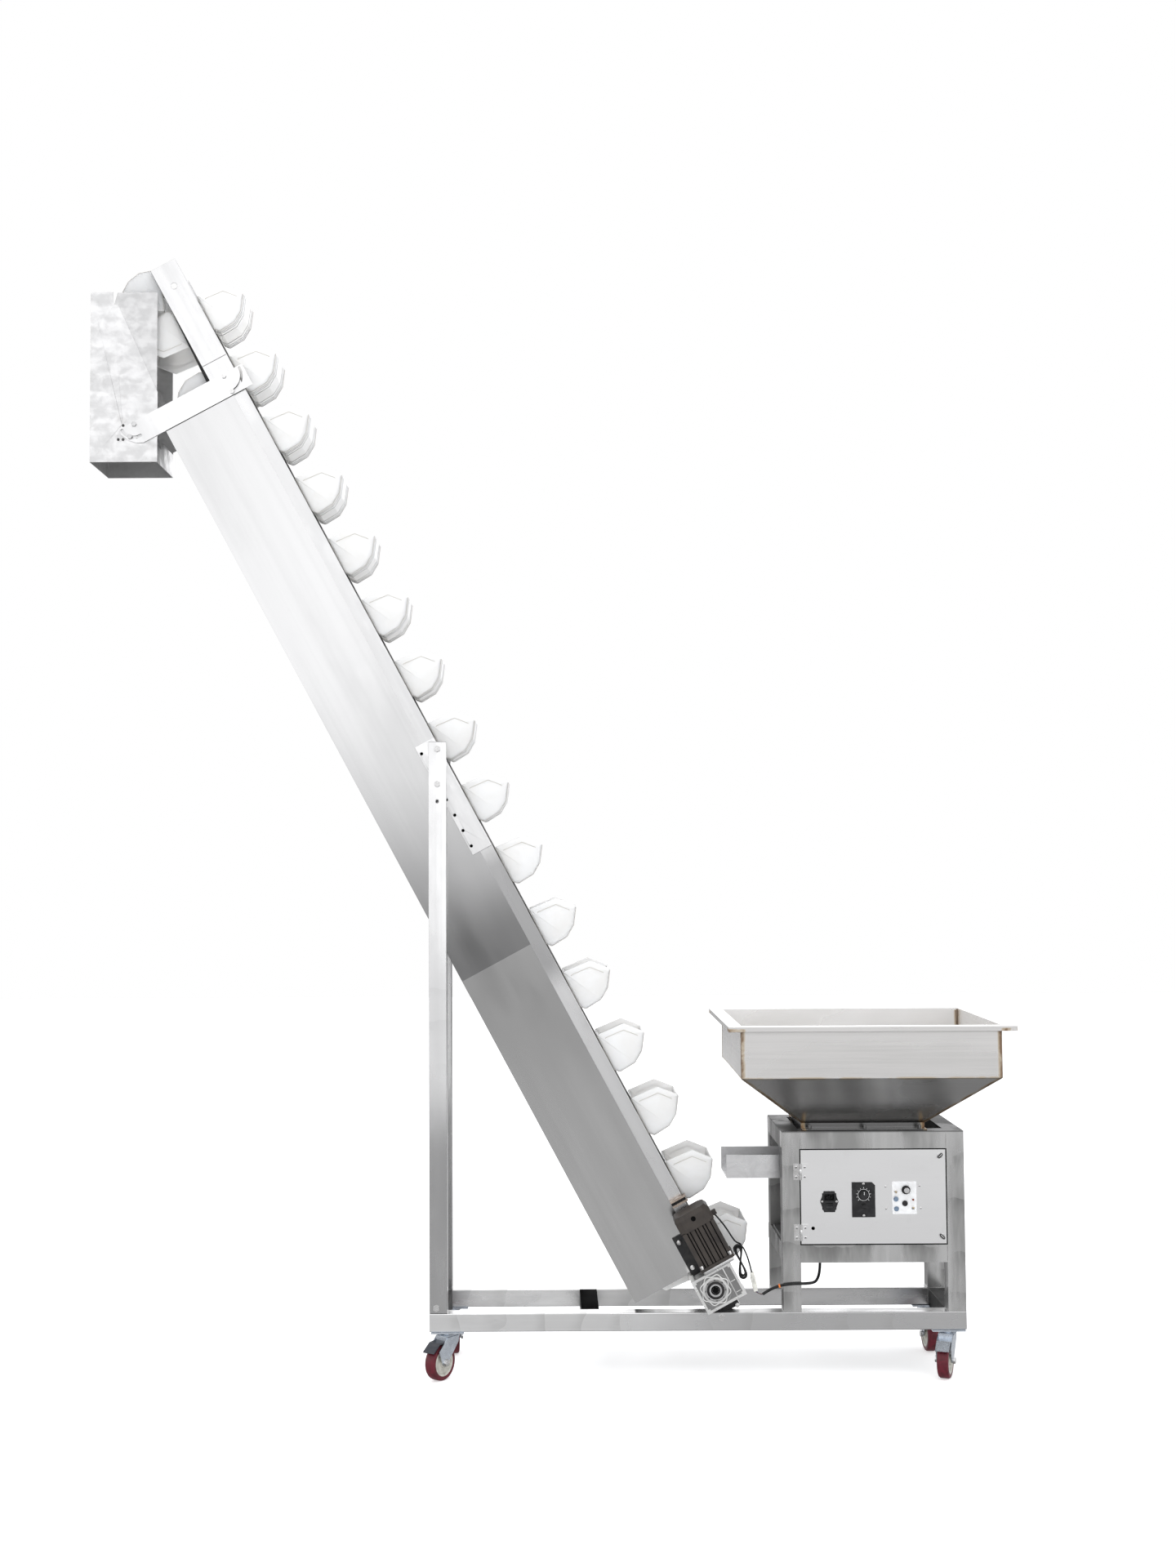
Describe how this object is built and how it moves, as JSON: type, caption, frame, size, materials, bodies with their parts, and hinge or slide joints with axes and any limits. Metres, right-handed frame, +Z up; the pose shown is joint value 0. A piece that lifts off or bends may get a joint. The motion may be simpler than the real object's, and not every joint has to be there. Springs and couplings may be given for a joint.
{
  "type": "inclined bucket conveyor",
  "caption": "Mobile stainless frame with a steep chain of plastic buckets, worm-gear drive, vibrating feed tray under a hopper, control door and adjustable discharge chute.",
  "frame": {"origin": "bottom centre of the whole machine, on the floor", "axes": "+Z up, +X from the discharge chute to the feed hopper, -Y the side with the drive and the control door"},
  "size_m": [2.605, 0.65, 3.1996],
  "materials": {
    "tube_steel": "satin tube with weld marks",
    "sheet_steel": "fine brushed sheet",
    "hopper_steel": "satin sheet, bright rim",
    "chute_steel": "light mottled sheet",
    "zinc": "bluish zinc plate",
    "shaft_steel": "turned",
    "chain_steel": "machined",
    "black_steel": "satin black",
    "cast_aluminium": "die cast",
    "motor_black": "brown-black anodised fins",
    "bucket_plastic": "white, slightly translucent",
    "guide_plastic": "white",
    "pad_rubber": "matt",
    "wheel_tread": "maroon tread, cream hub",
    "pedal_dark": "dark",
    "control_black": "matt black",
    "panel_white": "white",
    "cable_black": "matt jacket",
    "connector_white": "milky",
    "tie_orange": "orange"
  },
  "bodies": {
    "frame": {"base_side_rails": "tube_steel", "base_cross_rails": "tube_steel", "caster_plates": "zinc", "prop_legs": "tube_steel", "incline_brackets": "sheet_steel", "frame_fasteners": "zinc", "side_rails": "sheet_steel", "tail_rails": "sheet_steel", "rail_flanges": "sheet_steel", "flange_pads": "pad_rubber", "chain_guides": "guide_plastic", "casing_lower": "sheet_steel", "casing_upper": "sheet_steel", "tail_side_plates": "black_steel", "shaft_supports": "shaft_steel", "gearbox_housing": "cast_aluminium", "drive_motor": "motor_black", "stand_frame": "tube_steel", "hopper": "hopper_steel", "feeder_drive": "black_steel", "control_box": "sheet_steel", "door_hinges": "zinc", "motor_lead": "cable_black", "motor_lead_hank": "cable_black", "lead_connector": "connector_white", "control_lead": "cable_black", "cable_tie": "tie_orange"},
    "fork_front_left": {"caster_fork_front_left": "zinc"},
    "wheel_front_left": {"caster_wheel_front_left": "wheel_tread"},
    "pedal_front_left": {"brake_pedal_front_left": "pedal_dark"},
    "fork_front_right": {"caster_fork_front_right": "zinc"},
    "wheel_front_right": {"caster_wheel_front_right": "wheel_tread"},
    "pedal_front_right": {"brake_pedal_front_right": "zinc"},
    "fork_rear_left": {"caster_fork_rear_left": "zinc"},
    "wheel_rear_left": {"caster_wheel_rear_left": "wheel_tread"},
    "fork_rear_right": {"caster_fork_rear_right": "zinc"},
    "wheel_rear_right": {"caster_wheel_rear_right": "wheel_tread"},
    "carry_run": {"carry_buckets": "bucket_plastic", "carry_chains": "chain_steel"},
    "return_run": {"return_buckets": "bucket_plastic", "return_chains": "chain_steel"},
    "head_set": {"head_sprockets": "chain_steel", "head_bucket": "bucket_plastic"},
    "drive_set": {"drive_shaft": "shaft_steel"},
    "chute_arms": {"chute_arms": "sheet_steel"},
    "chute": {"chute_shell": "chute_steel", "chute_hardware": "zinc"},
    "tray": {"feeder_tray": "chute_steel"},
    "door": {"door_panel": "sheet_steel", "power_inlet": "control_black", "speed_controller": "control_black", "feeder_panel": "panel_white"},
    "inlet_rocker": {"inlet_rocker": "control_black"},
    "run_switch": {"run_switch": "control_black"},
    "speed_knob": {"speed_knob": "control_black"},
    "output_knob": {"output_knob": "control_black"},
    "feeder_power_switch": {"feeder_power_switch": "shaft_steel"},
    "feeder_mode_switch": {"feeder_mode_switch": "shaft_steel"},
    "door_latch_upper": {"door_latch_upper": "zinc"},
    "door_latch_lower": {"door_latch_lower": "zinc"}
  },
  "joints": [
    {"name": "swivel_front_left", "type": "hinge", "parent": "frame", "child": "fork_front_left", "pos_m": [-0.2705, -0.15, 0.123], "axis": [0, 0, 1], "continuous": true},
    {"name": "roll_front_left", "type": "hinge", "parent": "fork_front_left", "child": "wheel_front_left", "pos_m": [-0.29111, -0.17829, 0.05], "axis": [0.8083, -0.5888, 0], "continuous": true},
    {"name": "brake_front_left", "type": "hinge", "parent": "fork_front_left", "child": "pedal_front_left", "pos_m": [-0.28878, -0.1751, 0.104], "axis": [0.8083, -0.5888, 0], "range_deg": [0, 6]},
    {"name": "swivel_front_right", "type": "hinge", "parent": "frame", "child": "fork_front_right", "pos_m": [1.1295, -0.15, 0.123], "axis": [0, 0, 1], "continuous": true},
    {"name": "roll_front_right", "type": "hinge", "parent": "fork_front_right", "child": "wheel_front_right", "pos_m": [1.11656, -0.18252, 0.05], "axis": [0.9292, -0.3697, 0], "continuous": true},
    {"name": "brake_front_right", "type": "hinge", "parent": "fork_front_right", "child": "pedal_front_right", "pos_m": [1.11802, -0.17885, 0.104], "axis": [0.9292, -0.3697, 0], "range_deg": [0, 6]},
    {"name": "swivel_rear_left", "type": "hinge", "parent": "frame", "child": "fork_rear_left", "pos_m": [-0.2705, 0.15, 0.123], "axis": [0, 0, 1], "continuous": true},
    {"name": "roll_rear_left", "type": "hinge", "parent": "fork_rear_left", "child": "wheel_rear_left", "pos_m": [-0.267, 0.11517, 0.05], "axis": [0.995, 0.1, 0], "continuous": true},
    {"name": "swivel_rear_right", "type": "hinge", "parent": "frame", "child": "fork_rear_right", "pos_m": [1.1295, 0.15, 0.123], "axis": [0, 0, 1], "continuous": true},
    {"name": "roll_rear_right", "type": "hinge", "parent": "fork_rear_right", "child": "wheel_rear_right", "pos_m": [1.13125, 0.11504, 0.05], "axis": [0.9987, 0.05, 0], "continuous": true},
    {"name": "carry_travel", "type": "slide", "parent": "frame", "child": "carry_run", "axis": [-0.4726, 0, 0.8813], "range_m": [-0.0889, 0.01]},
    {"name": "return_travel", "type": "slide", "parent": "frame", "child": "return_run", "axis": [0.4726, 0, -0.8813], "range_m": [-0.089, 0.0101]},
    {"name": "head_turn", "type": "hinge", "parent": "frame", "child": "head_set", "pos_m": [-1.06086, 0, 3.11729], "axis": [0, -1, 0], "range_deg": [-157.7, 17.92]},
    {"name": "drive_turn", "type": "hinge", "parent": "frame", "child": "drive_set", "pos_m": [0.4755, 0, 0.252], "axis": [0, -1, 0], "range_deg": [-157.7, 17.92]},
    {"name": "arm_swing", "type": "hinge", "parent": "frame", "child": "chute_arms", "pos_m": [-0.91399, 0, 2.84974], "axis": [0, 1, 0], "range_deg": [0, 15]},
    {"name": "chute_tilt", "type": "hinge", "parent": "chute_arms", "child": "chute", "pos_m": [-1.17397, 0, 2.71034], "axis": [0, 1, 0], "range_deg": [-15, 0]},
    {"name": "tray_shake", "type": "slide", "parent": "frame", "child": "tray", "axis": [-0.9513, 0, 0.3084], "range_m": [-0.0015, 0.0015], "stiffness_N_per_m": 100000},
    {"name": "door_swing", "type": "hinge", "parent": "frame", "child": "door", "pos_m": [0.7205, -0.1785, 0.498], "axis": [0, 0, -1], "range_deg": [0, 110]},
    {"name": "inlet_rocker_rock", "type": "hinge", "parent": "door", "child": "inlet_rocker", "pos_m": [0.8005, -0.174, 0.4735], "axis": [1, 0, 0], "range_deg": [-4, 4]},
    {"name": "run_switch_rock", "type": "hinge", "parent": "door", "child": "run_switch", "pos_m": [0.8965, -0.174, 0.473], "axis": [1, 0, 0], "range_deg": [-4, 4]},
    {"name": "speed_knob_turn", "type": "hinge", "parent": "door", "child": "speed_knob", "pos_m": [0.8965, -0.178, 0.5035], "axis": [0, -1, 0], "range_deg": [-150, 150]},
    {"name": "output_knob_turn", "type": "hinge", "parent": "door", "child": "output_knob", "pos_m": [1.015, -0.178, 0.517], "axis": [0, -1, 0], "range_deg": [-150, 150]},
    {"name": "feeder_power_switch_tip", "type": "hinge", "parent": "door", "child": "feeder_power_switch", "pos_m": [0.9865, -0.17835, 0.513], "axis": [1, 0, 0], "range_deg": [-24, 0]},
    {"name": "feeder_mode_switch_tip", "type": "hinge", "parent": "door", "child": "feeder_mode_switch", "pos_m": [1.0345, -0.17835, 0.467], "axis": [1, 0, 0], "range_deg": [0, 24]},
    {"name": "door_latch_upper_turn", "type": "hinge", "parent": "door", "child": "door_latch_upper", "pos_m": [1.1125, -0.176, 0.611], "axis": [0, -1, 0], "range_deg": [0, 90]},
    {"name": "door_latch_lower_turn", "type": "hinge", "parent": "door", "child": "door_latch_lower", "pos_m": [1.1155, -0.176, 0.387], "axis": [0, -1, 0], "range_deg": [-90, 0]}
  ],
  "couplings": [
    {"joint": "return_travel", "follows": "carry_travel", "ratio": 1},
    {"joint": "head_turn", "follows": "carry_travel", "rad_per_m": 30.921},
    {"joint": "drive_turn", "follows": "carry_travel", "rad_per_m": 30.921}
  ]
}
